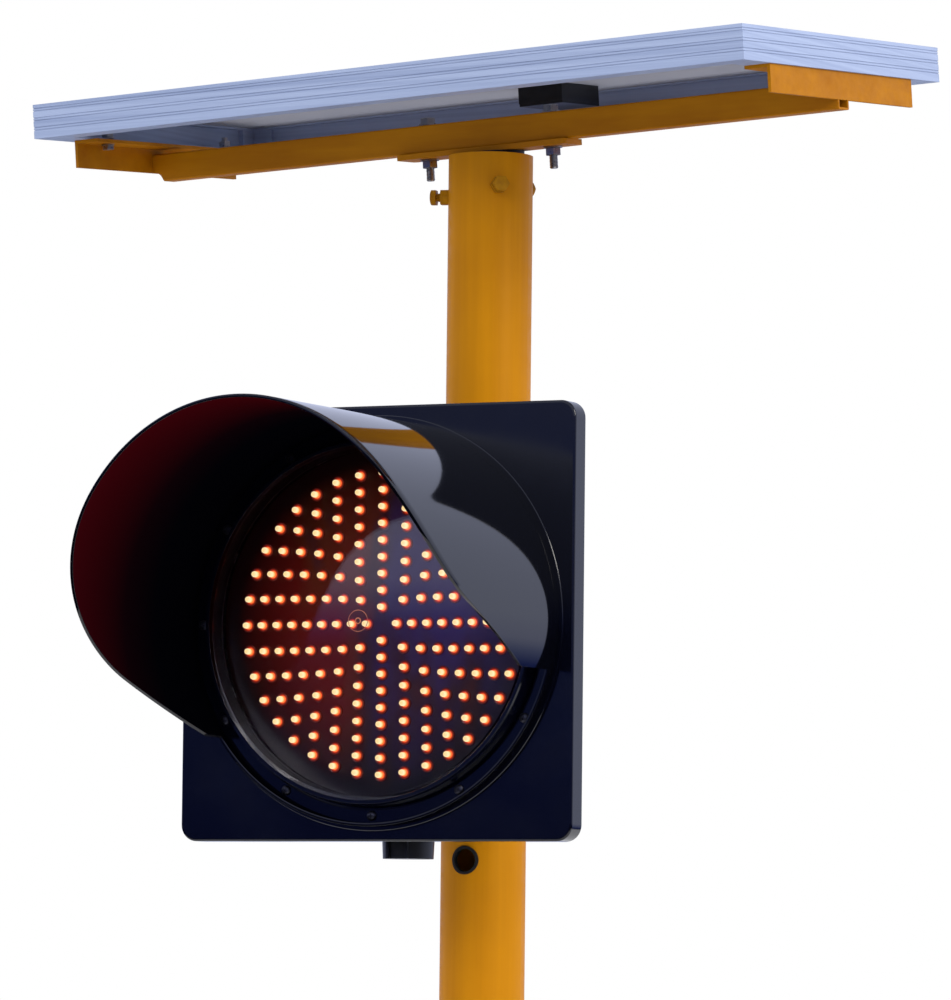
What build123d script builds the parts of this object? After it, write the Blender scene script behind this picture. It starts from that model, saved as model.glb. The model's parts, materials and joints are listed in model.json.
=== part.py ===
from build123d import *
import math
import os

# A solar-powered flashing signal on the top section of a round pole.
# Frame: origin on the pole's axis at its lower end, +Z up, the signal faces -Y, +X to its right
# as the viewer sees it.  Millimetres.

# ---------------------------------------------------------------- driving dimensions
POLE_OD = 76.1
POLE_WALL = 3.2
POLE_TOP = 832.5
SOCKET_R = 35.4                                # reamed length at the lower end, for a stub
SOCKET_LENGTH = 180.0
POLE_R = POLE_OD / 2
POLE_IR = POLE_R - POLE_WALL
CABLE_HOLE_Z = 199.0
CABLE_HOLE_D = 23.0
GROMMET_LIP = 1.2                               # how far the grommet laps over the wall
SET_SCREWS = ((36.0, 802.0), (165.0, 808.0), (283.0, 796.0))  # degrees from the front towards +X, height
SET_SCREW_LOW = 796.0
RUN_GAP = 0.05                                 # radial gap of a shaft in its hole

HEAD_Z = 400.0                                 # height of the lens centre
HEAD_HALF = 188.75                             # half the square front
HEAD_CORNER = 14.5
FACE_Y = -219.3                                # plane of the square front
LIP_DEPTH = 20.3
DOOR_WALL = 4.0
DOOR_BACK_Y = FACE_Y + LIP_DEPTH
SEAL_HALF = 172.0                              # outer half size of the sealing rib and housing rim
SEAL_WALL = 4.0

LENS_R = 152.0
LENS_SHELL = 3.0
BEZEL_PROUD = 18.0
LENS_RISE = 16.5
LED_RINGS = 9
LED_PITCH = 14.56
LED_D = 5.0
LED_TIP_Y = -213.2
BOARD_FRONT_Y = -204.4
BOARD_THICK = 1.6

VISOR_R = 176.2
VISOR_WALL = 3.0
VISOR_LENGTH = 262.0                           # along the crown, from the door's face
VISOR_ROLL = 10.0                              # the open side is rolled towards the viewer's right
VISOR_SKEW = 0.094                             # the rim runs further forward towards the viewer's right
VISOR_SHOULDER_R = 165.0
VISOR_FLANGE_R = 180.0
VISOR_FLANGE_T = 3.0
VISOR_SCREW_R = 167.0
VISOR_SCREWS = 12

HOUSING_FRONT_Y = DOOR_BACK_Y + 2.0
HOUSING_BACK_Y = -94.7
HOUSING_STRAIGHT = 20.0
HOUSING_BACK_HALF = 130.0
HOUSING_WALL = 4.0
HOUSING_CORNER = 24.0
PORT_Y = -150.7
PLUG_BOTTOM_Z = 197.5

HINGE_X = -180.0
HINGE_Y = -190.0
HINGE_ZS = (HEAD_Z - 110.0, HEAD_Z + 110.0)
HINGE_PIN_D = 6.0
LATCH_X = 176.75
LATCH_ZS = (HEAD_Z - 92.0, HEAD_Z + 92.0)
LATCH_STUD_D = 5.0

CHANNEL_W = 70.0
CHANNEL_T = 5.0
SADDLE_ZS = (HEAD_Z - 158.0, HEAD_Z + 158.0)
SADDLE_H = 40.0
U_BOLT_D = 10.0
U_BOLT_R = POLE_R + 0.45 + U_BOLT_D / 2
CLAMP_PLATE_Y = -66.0

PANEL_L = 737.0
PANEL_W = 360.0
PANEL_T = 31.0
PANEL_YAW = -5.8
PANEL_LEAN = 1.9                               # right end up
PANEL_PITCH = 4.05                             # far edge up
PLATE_Z = 835.9                                # underside of the top plate on the pole's axis
AXIS_U = 5.0                                   # where the pole's axis meets the panel's length
PLATE_W0 = -54.0                               # underside of the top plate below the panel's middle
PLATE_T = 5.0
PLATE_U = (-86.0, 92.0)
PLATE_W = 34.0
RAIL_H = 25.5
RAIL_W = 19.0
RAIL_WALL = 2.0
ANGLE_LEG = 25.0
ANGLE_T = 3.0
ANGLE_L = 260.0
LEFT_ANGLE_U = -359.0                          # outer faces of the two cross angles
RIGHT_ANGLE_U = 366.0
RAIL_BOLT_PITCH = 130.0
PANEL_BOLT_V = 97.0
SPIGOT_OD = 60.3
SPIGOT_WALL = 2.9
SPIGOT_LENGTH = 112.0
FRAME_WALL = 2.0
FRAME_FLANGE = 26.0
GLASS_T = 3.2
CELL_T = 0.5
BACKSHEET_T = 0.8
CELL_COLUMNS = 9
CELL_ROWS = 4


# ---------------------------------------------------------------- small shape helpers
def block(x0, x1, y0, y1, z0, z1):
    """A box between two corners."""
    centre = Pos((x0 + x1) / 2, (y0 + y1) / 2, (z0 + z1) / 2)
    return centre * Box(abs(x1 - x0), abs(y1 - y0), abs(z1 - z0))


def rod_z(r, x, y, z0, z1):
    return Pos(x, y, (z0 + z1) / 2) * Cylinder(r, abs(z1 - z0))


def rod_y(r, x, z, y0, y1):
    return Pos(x, (y0 + y1) / 2, z) * Rot(90, 0, 0) * Cylinder(r, abs(y1 - y0))


def ring_y(r_out, r_in, y0, y1, z=HEAD_Z):
    return rod_y(r_out, 0, z, y0, y1) - rod_y(r_in, 0, z, y0 - 1, y1 + 1)


def hex_z(across_flats, z0, z1):
    outline = RegularPolygon(across_flats / 2, 6, major_radius=False)
    return Pos(0, 0, min(z0, z1)) * extrude(outline, abs(z1 - z0))


def hex_bolt(d, length, across_flats, head):
    """Head above z = 0, shank below it."""
    return hex_z(across_flats, 0, head) + rod_z(d / 2, 0, 0, -length, 0)


def washer(d_out, d_in, thick):
    """Lies on z = 0."""
    return rod_z(d_out / 2, 0, 0, 0, thick) - rod_z(d_in / 2, 0, 0, -1, thick + 1)


def nut(d, across_flats, thick):
    """Lies on z = 0."""
    return hex_z(across_flats, 0, thick) - rod_z(d / 2, 0, 0, -1, thick + 1)


def rounded_square(half, corner, y0, y1, z=HEAD_Z, taper=0.0):
    """A square prism along +Y from y0 to y1, with rounded upright corners."""
    plane = Plane(origin=(0, y0, z), x_dir=(1, 0, 0), z_dir=(0, 1, 0))
    outline = plane * RectangleRounded(2 * half, 2 * half, corner)
    return extrude(outline, y1 - y0, taper=taper)


def around_y(r, degrees, z=HEAD_Z):
    """The (x, z) point at radius r and an angle from +X towards +Z."""
    a = math.radians(degrees)
    return r * math.cos(a), z + r * math.sin(a)


def group(pieces):
    """Separate solids that share one node."""
    return Compound(children=[p for p in pieces])


PANEL_PLACE = (
    Pos(0, 0, PLATE_Z)
    * Rot(0, 0, PANEL_YAW)
    * Rot(0, -PANEL_LEAN, 0)
    * Rot(PANEL_PITCH, 0, 0)
    * Pos(-AXIS_U, 0, -PLATE_W0)
)


def on_panel(shape):
    """From the panel's own frame (length, depth, up; origin at its middle) to the row frame."""
    return PANEL_PLACE * shape


# ---------------------------------------------------------------- pole
def set_screw_place(azimuth, height):
    """Local +Z points outwards from the pole at this azimuth, with z = 0 on the axis."""
    return Pos(0, 0, height) * Rot(0, 0, azimuth) * Rot(90, 0, 0)


def make_pole():
    tube = rod_z(POLE_R, 0, 0, 0, POLE_TOP) - rod_z(POLE_IR, 0, 0, -1, POLE_TOP + 1)
    tube -= rod_z(SOCKET_R, 0, 0, -1, SOCKET_LENGTH)
    tube -= rod_y(CABLE_HOLE_D / 2, 0, CABLE_HOLE_Z, -POLE_R - 5, 0)
    for azimuth, height in SET_SCREWS:
        tube -= set_screw_place(azimuth, height) * rod_z(4.0, 0, 0, POLE_IR - 5, POLE_R + 5)
    return tube


def make_cable_grommet():
    """A rubber ring in the cable hole, with a lip on each side of the curved wall."""
    collar = rod_y(CABLE_HOLE_D / 2, 0, CABLE_HOLE_Z, -POLE_R - 1.6, -POLE_IR + 4.5)
    lip = rod_y(CABLE_HOLE_D / 2 + GROMMET_LIP, 0, CABLE_HOLE_Z, -POLE_R - 6, -POLE_IR + 10)
    outside = rod_z(POLE_R + 1.6, 0, 0, 100, 300) - rod_z(POLE_R, 0, 0, 90, 310)
    inside = rod_z(POLE_IR, 0, 0, 100, 300) - rod_z(POLE_IR - 1.6, 0, 0, 90, 310)
    wall = rod_z(POLE_R, 0, 0, 100, 300) - rod_z(POLE_IR, 0, 0, 90, 310)
    ring = (lip & outside) + (lip & inside) + (collar & wall)
    return ring - rod_y(CABLE_HOLE_D / 2 - 1.2, 0, CABLE_HOLE_Z, -POLE_R - 10, 0)


def make_set_screw_bosses():
    pieces = []
    for azimuth, height in SET_SCREWS:
        boss = hex_z(13.0, POLE_R - 3, POLE_R + 7.5) - rod_z(4.0, 0, 0, POLE_R - 10, POLE_R + 20)
        boss = set_screw_place(azimuth, height) * boss
        pieces.append(boss - rod_z(POLE_R, 0, 0, height - 20, height + 20))
    return group(pieces)


def make_set_screws():
    tip = SPIGOT_OD / 2 + 0.3
    head_at = POLE_R + 11.5
    pieces = []
    for azimuth, height in SET_SCREWS:
        screw = Pos(0, 0, head_at) * hex_bolt(7.98, head_at - tip, 13.0, 5.3)
        pieces.append(set_screw_place(azimuth, height) * screw)
    return group(pieces)


# ---------------------------------------------------------------- panel bracket
def make_spigot():
    tube = rod_z(SPIGOT_OD / 2, 0, 0, POLE_TOP - SPIGOT_LENGTH, PLATE_Z + 20)
    tube -= rod_z(SPIGOT_OD / 2 - SPIGOT_WALL, 0, 0, 0, PLATE_Z + 30)
    return tube - on_panel(block(-300, 300, -200, 200, PLATE_W0, PLATE_W0 + 120))


def make_spigot_guide_rings():
    outer = POLE_IR - RUN_GAP
    lows = (POLE_TOP - SPIGOT_LENGTH + 4, SET_SCREW_LOW - 30)
    pieces = []
    for low in lows:
        ring = rod_z(outer, 0, 0, low, low + 14) - rod_z(SPIGOT_OD / 2, 0, 0, low - 1, low + 15)
        pieces.append(ring)
    return group(pieces)


def rail_bolt_us():
    return (AXIS_U - RAIL_BOLT_PITCH / 2, AXIS_U + RAIL_BOLT_PITCH / 2)


def make_top_plate():
    low = PLATE_W0
    plate = block(*PLATE_U, -PLATE_W / 2, PLATE_W / 2, low, low + PLATE_T)
    plate = fillet(plate.edges().filter_by(Axis.Z), 4)
    for u in rail_bolt_us():
        plate -= rod_z(4.25, u, 0, low - 1, low + PLATE_T + 1)
    return on_panel(plate)


def make_support_rail():
    low = PLATE_W0 + PLATE_T
    high = low + RAIL_H
    left = LEFT_ANGLE_U + ANGLE_T
    right = RIGHT_ANGLE_U
    half = RAIL_W / 2
    rail = block(left, right, -half, half, low, high)
    rail = fillet(rail.edges().filter_by(Axis.X), 2.0)
    inner = block(left - 1, right + 1, -half + RAIL_WALL, half - RAIL_WALL, low + RAIL_WALL, high - RAIL_WALL)
    rail -= inner
    leg_foot = -PANEL_T / 2 - ANGLE_LEG
    rail -= block(right - ANGLE_T, right + 1, -half - 1, half + 1, leg_foot, high + 1)
    rail -= rod_y(leg_foot - low + 4, left - 1, low - 3, -half - 1, half + 1)
    for u in rail_bolt_us():
        rail -= rod_z(4.25, u, 0, low - 1, high + 1)
    return on_panel(rail)


def make_cross_angle(outer_u, inward):
    """An L section whose flat leg lies under the frame and points inwards."""
    top = -PANEL_T / 2
    half = ANGLE_L / 2
    upright = block(outer_u, outer_u + inward * ANGLE_T, -half, half, top - ANGLE_LEG, top)
    flat = block(outer_u, outer_u + inward * ANGLE_LEG, -half, half, top - ANGLE_T, top)
    angle = upright + flat
    for v in (-PANEL_BOLT_V, PANEL_BOLT_V):
        slot = Pos(outer_u + inward * 14, v, top) * extrude(SlotOverall(18, 6.6, rotation=90), 10, both=True)
        angle -= slot
    return on_panel(angle)


def make_rail_bolts():
    high = PLATE_W0 + PLATE_T + RAIL_H + 1.6
    length = high - (PLATE_W0 - 20)
    pieces = [on_panel(Pos(u, 0, high) * hex_bolt(8.0, length, 13.0, 5.3)) for u in rail_bolt_us()]
    return group(pieces)


def make_rail_washers():
    high = PLATE_W0 + PLATE_T + RAIL_H
    pieces = []
    for u in rail_bolt_us():
        pieces.append(on_panel(Pos(u, 0, high) * washer(17, 8.0, 1.6)))
        pieces.append(on_panel(Pos(u, 0, PLATE_W0 - 1.6) * washer(17, 8.0, 1.6)))
    return group(pieces)


def make_rail_nuts():
    pieces = [on_panel(Pos(u, 0, PLATE_W0 - 1.6 - 6.5) * nut(8.0, 13.0, 6.5)) for u in rail_bolt_us()]
    return group(pieces)


def panel_bolt_places():
    top = -PANEL_T / 2
    for outer_u, inward in ((LEFT_ANGLE_U, 1), (RIGHT_ANGLE_U, -1)):
        for v in (-PANEL_BOLT_V, PANEL_BOLT_V):
            yield outer_u + inward * 14, v, top


def make_panel_bolts():
    pieces = []
    for u, v, top in panel_bolt_places():
        turned = Pos(u, v, top - ANGLE_T - 1.2) * Rot(180, 0, 0) * hex_bolt(6.0, 16, 10.0, 4.0)
        pieces.append(on_panel(turned))
    return group(pieces)


def make_panel_washers():
    pieces = []
    for u, v, top in panel_bolt_places():
        pieces.append(on_panel(Pos(u, v, top - ANGLE_T - 1.2) * washer(12, 6.0, 1.2)))
        pieces.append(on_panel(Pos(u, v, top + FRAME_WALL) * washer(12, 6.0, 1.2)))
    return group(pieces)


def make_panel_nuts():
    pieces = []
    for u, v, top in panel_bolt_places():
        pieces.append(on_panel(Pos(u, v, top + FRAME_WALL + 1.2) * nut(6.0, 10.0, 5.0)))
    return group(pieces)


# ---------------------------------------------------------------- solar panel
GLASS_TOP = PANEL_T / 2 - 1.6
GLASS_LOW = GLASS_TOP - GLASS_T
LAMINATE_LOW = GLASS_LOW - CELL_T - BACKSHEET_T


def frame_section():
    """The extrusion in the (inward, up) plane: outer wall at inward = 0, grooves in its outer face."""
    half = PANEL_T / 2
    wall = Pos(FRAME_WALL / 2, 0) * Rectangle(FRAME_WALL, PANEL_T)
    lip = Pos(4.0, half - 0.8) * Rectangle(8.0, 1.6)
    shelf = Pos(5.0, LAMINATE_LOW - 0.8) * Rectangle(10.0, 1.6)
    flange = Pos(FRAME_FLANGE / 2, -half + FRAME_WALL / 2) * Rectangle(FRAME_FLANGE, FRAME_WALL)
    section = wall + lip + shelf + flange
    for from_top in (3.6, 5.9, 12.2, 14.6, 20.9, 23.3):
        section -= Pos(0, half - from_top) * Rectangle(1.0, 0.8)
    return section


def frame_member(length, place):
    """A mitred member, its outer wall on the local X axis, running along +X, inward +Y."""
    plane = Plane(origin=(-length / 2, 0, 0), x_dir=(0, 1, 0), z_dir=(1, 0, 0))
    bar = extrude(plane * frame_section(), length)
    reach = FRAME_FLANGE + 20
    cutter = Polyline((0, 0), (-reach, 0), (-reach, reach), (reach, reach), (0, 0))
    wedge = extrude(make_face(cutter), PANEL_T, both=True)
    bar -= Pos(-length / 2, 0, 0) * wedge
    bar -= Pos(length / 2, 0, 0) * mirror(wedge, about=Plane.YZ)
    for u, v, top in panel_bolt_places():
        local = place.inverse() * Pos(u, v, top)
        bar -= local * rod_z(3.3, 0, 0, -1, FRAME_WALL + 1)
    return on_panel(place * bar)


def make_frame_members():
    half_l = PANEL_L / 2
    half_w = PANEL_W / 2
    return {
        "frame_front_rail": frame_member(PANEL_L, Pos(0, -half_w, 0)),
        "frame_rear_rail": frame_member(PANEL_L, Pos(0, half_w, 0) * Rot(0, 0, 180)),
        "frame_left_rail": frame_member(PANEL_W, Pos(-half_l, 0, 0) * Rot(0, 0, -90)),
        "frame_right_rail": frame_member(PANEL_W, Pos(half_l, 0, 0) * Rot(0, 0, 90)),
    }


def make_corner_keys():
    """An L of bar inside each corner, against the two outer walls."""
    low = -PANEL_T / 2 + FRAME_WALL
    high = LAMINATE_LOW - 1.6
    pieces = []
    for sx in (-1, 1):
        for sy in (-1, 1):
            x = sx * (PANEL_L / 2 - FRAME_WALL)
            y = sy * (PANEL_W / 2 - FRAME_WALL)
            key = block(x, x - sx * 24, y, y - sy * 5, low, high)
            key += block(x, x - sx * 5, y, y - sy * 24, low, high)
            pieces.append(on_panel(key))
    return group(pieces)


def laminate_sheet(low, high, inset):
    half_l = PANEL_L / 2 - FRAME_WALL - inset
    half_w = PANEL_W / 2 - FRAME_WALL - inset
    return on_panel(block(-half_l, half_l, -half_w, half_w, low, high))


def make_solar_cells():
    """Rows of cells between the glass and the backsheet."""
    span_u = PANEL_L - 2 * (FRAME_WALL + 9)
    span_v = PANEL_W - 2 * (FRAME_WALL + 9)
    step_u = span_u / CELL_COLUMNS
    step_v = span_v / CELL_ROWS
    pieces = []
    for i in range(CELL_COLUMNS):
        for j in range(CELL_ROWS):
            u = -span_u / 2 + (i + 0.5) * step_u
            v = -span_v / 2 + (j + 0.5) * step_v
            cell = Pos(u, v, GLASS_LOW - CELL_T / 2) * Box(step_u - 2.4, step_v - 2.4, CELL_T)
            pieces.append(on_panel(cell))
    return group(pieces)


JBOX_U = (0.0, 46.0)
JBOX_V = (62.0, 128.0)
JBOX_LOW = -9.0
JBOX_LID = 2.5


def make_junction_box():
    low = JBOX_LOW + JBOX_LID
    high = LAMINATE_LOW
    shell = block(*JBOX_U, *JBOX_V, low, high)
    shell -= block(JBOX_U[0] + 2, JBOX_U[1] - 2, JBOX_V[0] + 2, JBOX_V[1] - 2, low - 1, high - 2)
    for u in cable_gland_us():
        shell -= rod_y(5.0, u, (low + high) / 2, JBOX_V[1] - 5, JBOX_V[1] + 5)
    return on_panel(shell)


def make_junction_box_lid():
    low = JBOX_LOW
    lid = block(*JBOX_U, *JBOX_V, low, low + JBOX_LID)
    lid += block(JBOX_U[0] + 2.2, JBOX_U[1] - 2.2, JBOX_V[0] + 2.2, JBOX_V[1] - 2.2, low, low + 4)
    lid = fillet(lid.edges().filter_by(Axis.Z).group_by(Axis.X)[0], 1.5)
    return on_panel(lid)


def cable_gland_us():
    return (JBOX_U[0] + 12, JBOX_U[1] - 12)


def make_cable_glands():
    mid = (JBOX_LOW + JBOX_LID + LAMINATE_LOW) / 2
    face = JBOX_V[1]
    pieces = []
    for u in cable_gland_us():
        gland = rod_y(5.0, u, mid, face - 4, face) + rod_y(6.2, u, mid, face, face + 4)
        gland += rod_y(5.2, u, mid, face + 4, face + 11)
        gland -= rod_y(2.6, u, mid, face - 5, face + 12)
        pieces.append(on_panel(gland))
    return group(pieces)


# ---------------------------------------------------------------- head: rear housing and fixings
def housing_solid(inset):
    """The closed outer form of the housing, made smaller by inset on every wall."""
    half = SEAL_HALF - inset
    back_half = HOUSING_BACK_HALF - inset
    corner = HOUSING_CORNER - inset
    bend_y = HOUSING_FRONT_Y + HOUSING_STRAIGHT
    back_y = HOUSING_BACK_Y - inset
    taper = math.degrees(math.atan2(half - back_half, HOUSING_BACK_Y - bend_y))
    front = rounded_square(half, corner, HOUSING_FRONT_Y, bend_y)
    rear = rounded_square(half, corner, bend_y, back_y, taper=taper)
    return front + rear


def channel_bolt_places():
    return [(x, HEAD_Z + dz) for x in (-22.0, 22.0) for dz in (-100.0, 100.0)]


def make_rear_housing():
    shell = housing_solid(0) - housing_solid(HOUSING_WALL)
    port = rod_z(25, 0, PORT_Y, HEAD_Z - 175, HEAD_Z - 145)
    shell += port - housing_solid(HOUSING_WALL)
    shell -= rod_z(18, 0, PORT_Y, HEAD_Z - 180, HEAD_Z - 130)
    for x, z in channel_bolt_places():
        shell -= rod_y(4.25, x, z, HOUSING_BACK_Y - 10, HOUSING_BACK_Y + 5)
    for z in HINGE_ZS:
        for dz in (-22.5, 22.5):
            low = z + dz - 7
            ear = rod_z(6, HINGE_X, HINGE_Y, low, low + 14)
            ear += block(HINGE_X, -SEAL_HALF + 1, HINGE_Y - 3, HINGE_Y + 6, low, low + 14)
            shell += ear
        shell -= rod_z(HINGE_PIN_D / 2, HINGE_X, HINGE_Y, z - 40, z + 40)
    for z in LATCH_ZS:
        lug = block(SEAL_HALF - 1, LATCH_X + 5, -196, -189, z - 8, z + 8)
        shell += lug - rod_y(LATCH_STUD_D / 2 + RUN_GAP, LATCH_X, z, -200, -180)
    return shell


def make_housing_gasket():
    ring = rounded_square(SEAL_HALF, HOUSING_CORNER, DOOR_BACK_Y, HOUSING_FRONT_Y)
    hole = rounded_square(SEAL_HALF - SEAL_WALL, HOUSING_CORNER - SEAL_WALL, DOOR_BACK_Y - 1, HOUSING_FRONT_Y + 1)
    return ring - hole


def make_bottom_plug():
    """A tapered plug closing the cable port, with two upright ribs."""
    top = HEAD_Z - 175
    body = Pos(0, PORT_Y, (PLUG_BOTTOM_Z + top) / 2) * Cone(22.2, 23.4, top - PLUG_BOTTOM_Z)
    body += rod_z(18, 0, PORT_Y, top, top + 22)
    body -= rod_z(14, 0, PORT_Y, top - 20, top + 30)
    for x in (-9.0, 9.0):
        body += block(x - 1.2, x + 1.2, PORT_Y - 23.0, PORT_Y - 18, PLUG_BOTTOM_Z, top)
    return body


def make_hinge_pins():
    pieces = []
    for z in HINGE_ZS:
        pin = rod_z(HINGE_PIN_D / 2, HINGE_X, HINGE_Y, z - 31, z + 31)
        pin += rod_z(4.5, HINGE_X, HINGE_Y, z + 29.5, z + 32)
        pieces.append(pin)
    return group(pieces)


def make_mounting_channel():
    front = HOUSING_BACK_Y
    web = block(-CHANNEL_W / 2, CHANNEL_W / 2, front, front + CHANNEL_T, HEAD_Z - 178, HEAD_Z + 178)
    for x in (-CHANNEL_W / 2, CHANNEL_W / 2 - 4):
        web += block(x, x + 4, front, front + 18, HEAD_Z - 178, HEAD_Z + 178)
    for x, z in channel_bolt_places():
        web -= rod_y(4.25, x, z, front - 5, front + 10)
    return web


def make_channel_bolts():
    """Heads inside the housing, nuts behind the channel."""
    pieces = []
    seat = HOUSING_BACK_Y - HOUSING_WALL
    for x, z in channel_bolt_places():
        bolt = Pos(x, seat, z) * Rot(90, 0, 0) * hex_bolt(8.0, 20, 13.0, 5.3)
        pieces.append(bolt)
    return group(pieces)


def make_channel_nuts():
    pieces = []
    for x, z in channel_bolt_places():
        pieces.append(Pos(x, HOUSING_BACK_Y + CHANNEL_T, z) * Rot(-90, 0, 0) * nut(8.0, 13.0, 6.5))
    return group(pieces)


def make_saddle(z):
    """A rib from the channel to the pole, hollowed to its curve, through a cross plate for the U-bolt."""
    low = z - SADDLE_H / 2
    high = z + SADDLE_H / 2
    rib = block(-11, 11, HOUSING_BACK_Y + CHANNEL_T, -30, low, high)
    plate = block(-58, 58, CLAMP_PLATE_Y, CLAMP_PLATE_Y + 7, low, high)
    foot = block(-30, 30, HOUSING_BACK_Y + CHANNEL_T, HOUSING_BACK_Y + CHANNEL_T + 6, low, high)
    saddle = rib + plate + foot
    saddle -= rod_z(POLE_R + 0.3, 0, 0, low - 1, high + 1)
    for x in (-U_BOLT_R, U_BOLT_R):
        saddle -= rod_y(U_BOLT_D / 2 + 0.5, x, z, CLAMP_PLATE_Y - 1, CLAMP_PLATE_Y + 8)
    return saddle


def make_u_bolts():
    front = CLAMP_PLATE_Y - 17
    pieces = []
    for z in SADDLE_ZS:
        bend = Pos(0, 0, z) * Torus(U_BOLT_R, U_BOLT_D / 2)
        bend &= block(-80, 80, 0, 80, z - 20, z + 20)
        bolt = bend
        for x in (-U_BOLT_R, U_BOLT_R):
            bolt += rod_y(U_BOLT_D / 2, x, z, front, 0)
        pieces.append(bolt)
    return group(pieces)


def u_bolt_legs():
    return [(x, z) for z in SADDLE_ZS for x in (-U_BOLT_R, U_BOLT_R)]


def make_u_bolt_washers():
    pieces = []
    for x, z in u_bolt_legs():
        pieces.append(Pos(x, CLAMP_PLATE_Y, z) * Rot(90, 0, 0) * washer(20, U_BOLT_D, 2.0))
    return group(pieces)


def make_u_bolt_nuts():
    pieces = []
    for x, z in u_bolt_legs():
        pieces.append(Pos(x, CLAMP_PLATE_Y - 2, z) * Rot(90, 0, 0) * nut(U_BOLT_D, 17, 8.0))
    return group(pieces)


# ---------------------------------------------------------------- head: battery and electronics
BATTERY_L = 151.0
BATTERY_D = 65.0
BATTERY_H = 94.0
BATTERY_BACK_Y = -104.0
BATTERY_LOW_Z = HEAD_Z - 122.0


def make_battery():
    half = BATTERY_L / 2
    front = BATTERY_BACK_Y - BATTERY_D
    case = block(-half, half, front, BATTERY_BACK_Y, BATTERY_LOW_Z, BATTERY_LOW_Z + BATTERY_H)
    case = fillet(case.edges().filter_by(Axis.Z), 3)
    top = BATTERY_LOW_Z + BATTERY_H
    for x in (-half + 12, half - 12):
        case += block(x - 3, x + 3, BATTERY_BACK_Y - 14, BATTERY_BACK_Y - 13.2, top, top + 7)
    return case


def make_battery_tray():
    half = BATTERY_L / 2 + 3
    back = HOUSING_BACK_Y - HOUSING_WALL
    tray = block(-half, half, back - 5.3, back, BATTERY_LOW_Z, BATTERY_LOW_Z + 40)
    tray -= block(-half + 30, half - 30, back - 6, back + 1, BATTERY_LOW_Z + 2, BATTERY_LOW_Z + 41)
    tray += block(-half, half, BATTERY_BACK_Y - BATTERY_D - 2, back, BATTERY_LOW_Z - 2, BATTERY_LOW_Z)
    tray += block(-half, half, BATTERY_BACK_Y - BATTERY_D - 2, BATTERY_BACK_Y - BATTERY_D, BATTERY_LOW_Z, BATTERY_LOW_Z + 14)
    return tray


def make_battery_strap():
    """A webbing band across the front of the battery, folded back over both ends to the tray."""
    half = BATTERY_L / 2
    front = BATTERY_BACK_Y - BATTERY_D
    low = BATTERY_LOW_Z + 50
    outer = block(-half - 2, half + 2, front - 2, HOUSING_BACK_Y - HOUSING_WALL, low, low + 20)
    return outer - block(-half, half, front, HOUSING_BACK_Y, low - 1, low + 21)


BOARD_BACK_Y = HOUSING_BACK_Y - HOUSING_WALL - 12.0
CONTROLLER = (-75.0, 45.0, HEAD_Z + 20.0, HEAD_Z + 110.0)


def controller_corners():
    x0, x1, z0, z1 = CONTROLLER
    return [(x, z) for x in (x0 + 6, x1 - 6) for z in (z0 + 6, z1 - 6)]


def make_charge_controller():
    x0, x1, z0, z1 = CONTROLLER
    board = block(x0, x1, BOARD_BACK_Y - 1.6, BOARD_BACK_Y, z0, z1)
    for x, z in controller_corners():
        board -= rod_y(1.6, x, z, BOARD_BACK_Y - 5, BOARD_BACK_Y + 5)
    return board


def make_controller_parts():
    """Heat sink, coil, capacitors and driver chips on the board."""
    x0, x1, z0, z1 = CONTROLLER
    face = BOARD_BACK_Y - 1.6
    sink = block(x0 + 14, x0 + 54, face - 4, face, z0 + 50, z0 + 80)
    for i in range(6):
        x = x0 + 15 + i * 7
        sink += block(x, x + 2, face - 18, face, z0 + 50, z0 + 80)
    pieces = [sink]
    for i in range(3):
        pieces.append(rod_y(6.5, x0 + 72 + i * 15, z0 + 68, face - 20, face))
    coil = rod_y(10, x0 + 26, z0 + 26, face - 9, face) - rod_y(5, x0 + 26, z0 + 26, face - 10, face + 1)
    pieces.append(coil)
    for i in range(2):
        pieces.append(block(x0 + 46 + i * 16, x0 + 56 + i * 16, face - 2, face, z0 + 30, z0 + 44))
    return group(pieces)


def make_controller_spacers():
    seat = HOUSING_BACK_Y - HOUSING_WALL
    pieces = []
    for x, z in controller_corners():
        post = rod_y(3.5, x, z, BOARD_BACK_Y, seat) + rod_y(1.6, x, z, BOARD_BACK_Y - 1.6, BOARD_BACK_Y)
        post += rod_y(3.0, x, z, BOARD_BACK_Y - 3.6, BOARD_BACK_Y - 1.6)
        pieces.append(post)
    return group(pieces)


def make_terminal_block():
    x0, x1, z0, z1 = CONTROLLER
    face = BOARD_BACK_Y - 1.6
    bar = block(x1 - 56, x1 - 6 - 6, face - 12, face, z0 + 12, z0 + 24)
    for i in range(5):
        x = x1 - 50 + i * 8.8
        bar -= rod_y(2.2, x, z0 + 18, face - 13, face - 8)
        bar -= rod_z(1.8, x, face - 4, z0 + 11, z0 + 18)
    return bar


# ---------------------------------------------------------------- door: frame, lens, lamps, visor
CLIP_R = 166.5
CLIP_ANGLES = [22.5 + 45 * i for i in range(8)]
GASKET_T = 2.0
LENS_FLANGE_R = 161.0
LENS_SEAT_Y = FACE_Y + DOOR_WALL
LENS_FLANGE_Y = LENS_SEAT_Y + GASKET_T
CLIP_SEAT_Y = LENS_FLANGE_Y + LENS_SHELL
BOARD_HALF = 158.0
SPACER_AT = 148.0


def spun(points):
    """A solid of revolution about the lens axis from (radius, y) corners."""
    outline = Polyline(*[(r, y) for r, y in points], close=True)
    solid = revolve(make_face(outline), Axis.Y)
    return Pos(0, 0, HEAD_Z) * solid


def visor_screw_places():
    return [around_y(VISOR_SCREW_R, i * 360 / VISOR_SCREWS) for i in range(VISOR_SCREWS)]


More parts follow.
